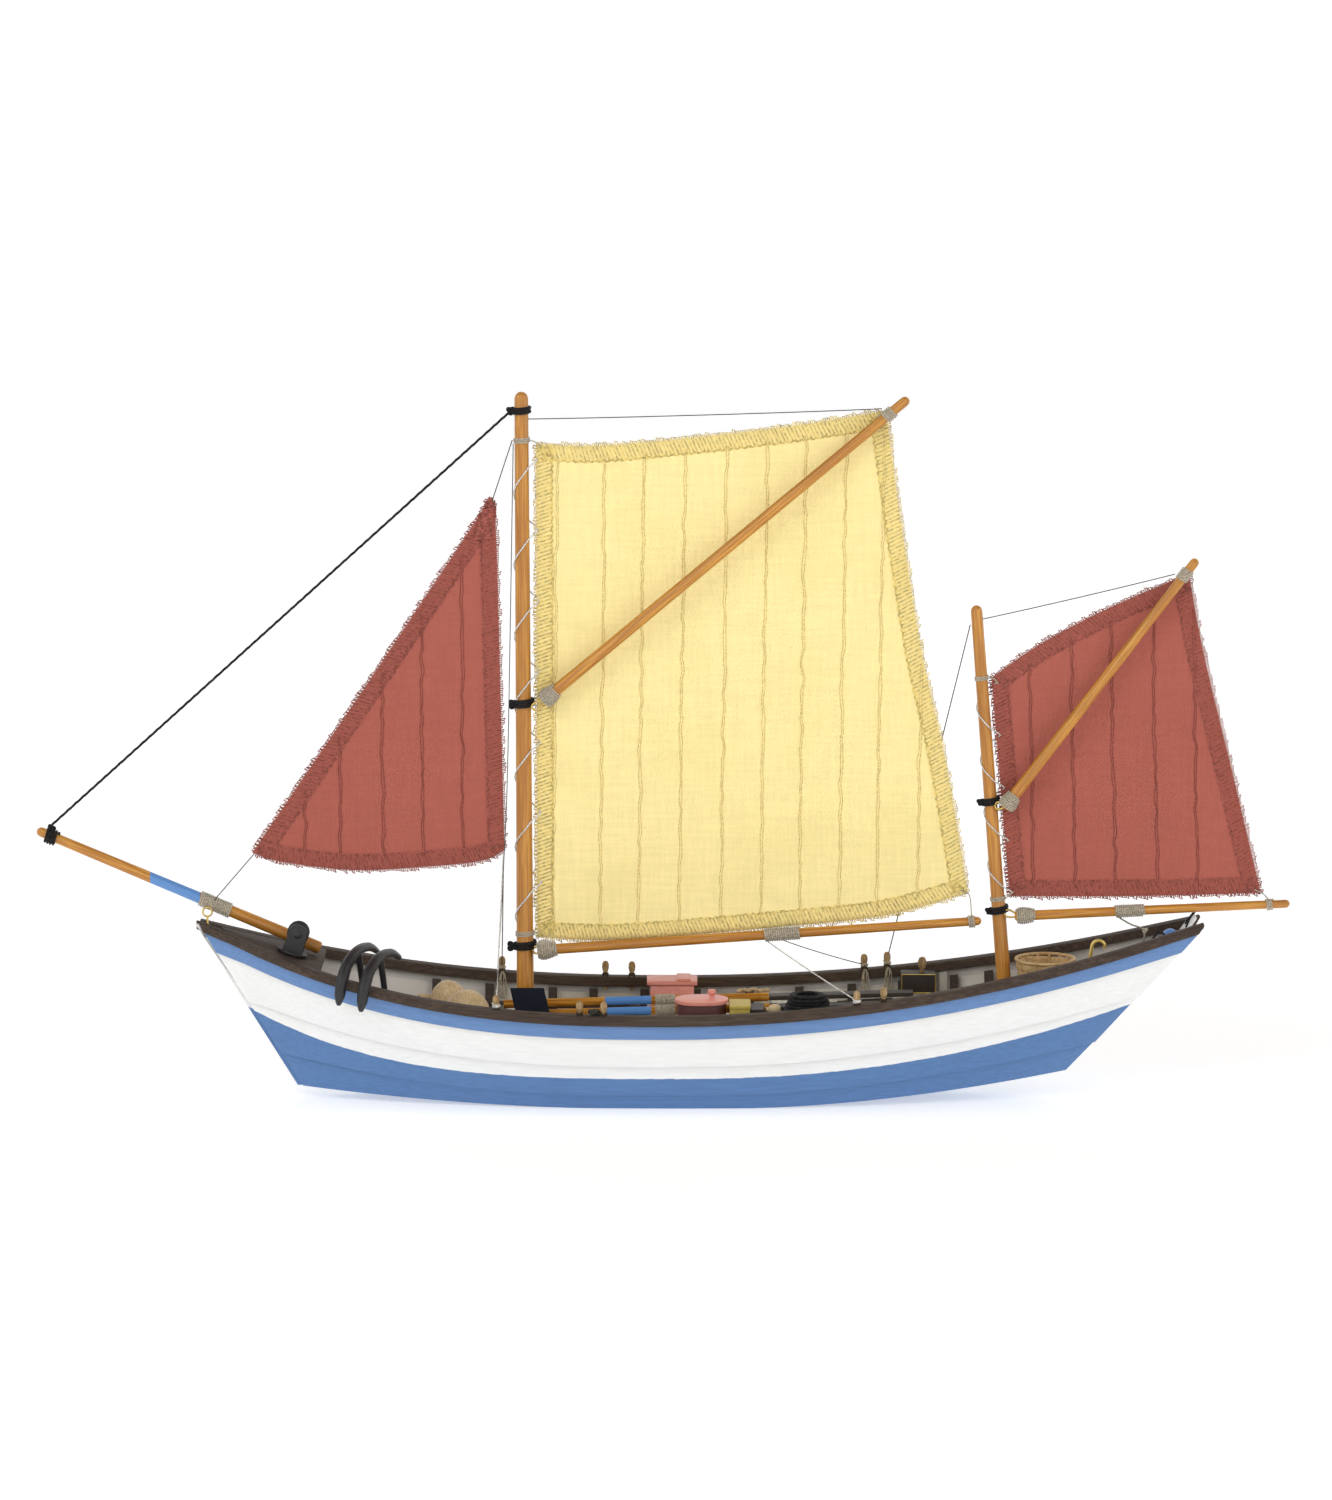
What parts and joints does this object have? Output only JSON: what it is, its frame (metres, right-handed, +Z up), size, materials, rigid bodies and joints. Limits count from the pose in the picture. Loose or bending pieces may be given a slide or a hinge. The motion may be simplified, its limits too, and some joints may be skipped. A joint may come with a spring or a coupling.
{
  "type": "sailing dory model",
  "caption": "Display model of a lapstrake fishing dory with a sprit mainsail, a sprit mizzen, a jib, a bowsprit, oars, anchors and stowed gear; its rigs swing and its lids open.",
  "frame": {"origin": "centre of the flat part of the bottom board, on the face that the boat stands on", "axes": "+X from the bow to the stern, +Y to starboard, +Z up"},
  "size_m": [0.5654, 0.0994, 0.321],
  "materials": {
    "hull_two_tone": "painted wood, white above a blue lower part",
    "sheer_blue": "satin blue paint on wood",
    "bottom_blue": "satin blue paint on wood",
    "gunwale_brown": "dark stained wood",
    "frame_brown": "dark stained wood",
    "grey_paint": "matt pale grey paint on wood",
    "spar_wood": "varnished honey wood",
    "pale_wood": "bare pale wood, oiled",
    "oar_wood": "varnished wood with a blue painted band",
    "yellow_cloth": "pale yellow cotton, overlocked edges",
    "red_cloth": "brick red cotton, overlocked edges",
    "black_cord": "black twisted cord",
    "pale_cord": "grey-white twisted thread",
    "black_iron": "matt black cast fittings",
    "pink_paint": "satin pink paint on wood",
    "dark_red_paint": "satin dark red paint on wood",
    "dark_wood": "dark wood with brass edges",
    "basket_weave": "woven split cane",
    "navy_paint": "dark navy paint on wood",
    "brass": "polished brass, slightly tarnished",
    "olive_paint": "matt yellow-olive paint on wood"
  },
  "bodies": {
    "hull": {"bottom_board": "bottom_blue", "stem": "hull_two_tone", "transom": "hull_two_tone", "plank_port_1": "hull_two_tone", "plank_port_2": "hull_two_tone", "plank_port_3": "hull_two_tone", "plank_port_4": "sheer_blue", "plank_starboard_1": "hull_two_tone", "plank_starboard_2": "hull_two_tone", "plank_starboard_3": "hull_two_tone", "plank_starboard_4": "sheer_blue", "gunwale_port": "gunwale_brown", "gunwale_starboard": "gunwale_brown", "frame_01": "frame_brown", "frame_02": "frame_brown", "frame_03": "frame_brown", "frame_04": "frame_brown", "frame_05": "frame_brown", "frame_06": "frame_brown", "frame_07": "frame_brown", "frame_08": "frame_brown", "frame_09": "frame_brown", "frame_10": "frame_brown", "frame_11": "frame_brown", "frame_12": "frame_brown", "bow_thwart": "grey_paint", "forward_thwart": "grey_paint", "middle_thwart": "grey_paint", "aft_thwart": "grey_paint", "after_thwart": "grey_paint", "stern_seat": "grey_paint", "main_mast": "spar_wood", "mizzen_mast": "spar_wood", "bowsprit": "spar_wood", "forestay": "black_cord", "mizzen_stay": "pale_cord", "roller_bracket": "black_iron", "anchor_forward": "black_iron", "anchor_aft": "black_iron", "oar_port": "oar_wood", "oar_starboard": "oar_wood", "chest": "pink_paint", "kettle": "dark_red_paint", "foghorn_box": "dark_wood", "bailer_near": "pale_wood", "bailer_far": "pale_wood", "basket": "basket_weave", "foredeck": "gunwale_brown", "rope_coil": "black_cord"},
    "main_rig": {"main_boom": "spar_wood", "main_sprit": "spar_wood", "main_sail": "yellow_cloth"},
    "mizzen_rig": {"mizzen_boom": "spar_wood", "mizzen_sprit": "spar_wood", "mizzen_sail": "red_cloth"},
    "jib_rig": {"jib": "red_cloth"},
    "roller_wheel": {"roller": "black_iron"},
    "chest_cover": {"chest_lid": "pink_paint"},
    "kettle_cover": {"kettle_lid": "pink_paint"},
    "foghorn_plunger": {"foghorn_handle": "pale_wood"}
  },
  "joints": [
    {"name": "main_swing", "type": "hinge", "parent": "hull", "child": "main_rig", "pos_m": [-0.0699, 0, 0.0056], "axis": [-0.0029, 0, 1], "range_deg": [-12, 3]},
    {"name": "mizzen_swing", "type": "hinge", "parent": "hull", "child": "mizzen_rig", "pos_m": [0.15, 0, 0.0132], "axis": [-0.0814, 0, 0.9967], "range_deg": [-10, 10]},
    {"name": "jib_swing", "type": "hinge", "parent": "hull", "child": "jib_rig", "pos_m": [-0.1927, 0, 0.1127], "axis": [0.5649, 0, 0.8251], "range_deg": [-10, 10]},
    {"name": "roller_spin", "type": "hinge", "parent": "hull", "child": "roller_wheel", "pos_m": [-0.172, -0.009, 0.0773], "axis": [0, 1, 0], "continuous": true},
    {"name": "chest_lid_hinge", "type": "hinge", "parent": "hull", "child": "chest_cover", "pos_m": [-0.0035, 0.034, 0.0472], "axis": [-1, 0, 0], "range_deg": [0, 95]},
    {"name": "kettle_lid_lift", "type": "slide", "parent": "hull", "child": "kettle_cover", "axis": [0, 0, 1], "range_m": [0, 0.008]},
    {"name": "foghorn_pump", "type": "slide", "parent": "hull", "child": "foghorn_plunger", "axis": [0, 0, 1], "range_m": [0, 0.006]}
  ]
}
